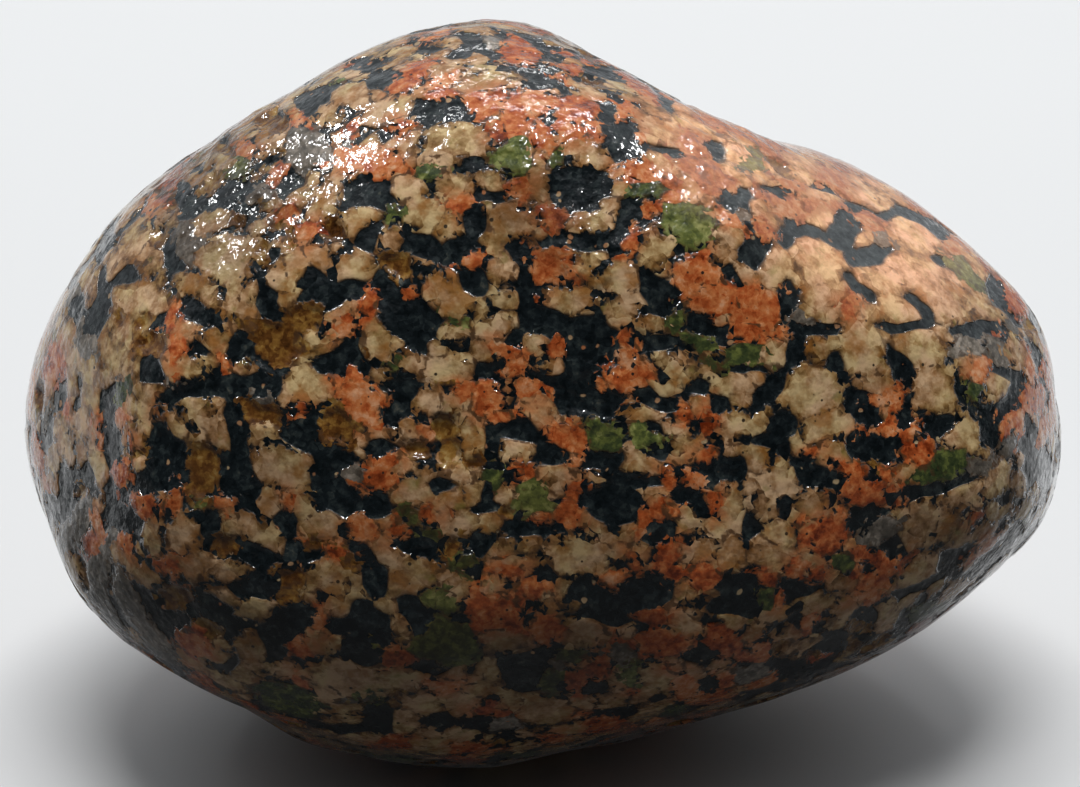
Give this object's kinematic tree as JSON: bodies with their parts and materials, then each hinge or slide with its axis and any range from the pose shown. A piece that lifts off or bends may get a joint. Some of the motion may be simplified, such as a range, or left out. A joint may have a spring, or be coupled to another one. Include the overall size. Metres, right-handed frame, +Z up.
{
  "type": "granite cobble specimen",
  "caption": "Water-worn granite cobble, a lopsided egg shape with worn faces, ridges and pits, that rests by itself on a small flat spot.",
  "frame": {"origin": "middle of the cobble's bounding box in plan, on the surface that it rests on", "axes": "+Z up, +X along the long way of the cobble towards its narrower right end, the main side faces -Y"},
  "size_m": [0.0896, 0.0644, 0.065],
  "materials": {
    "granite": "wet, water-worn, speckled cream, orange, green and black grains"
  },
  "bodies": {
    "root": {"granite_cobble": "granite"}
  },
  "joints": []
}
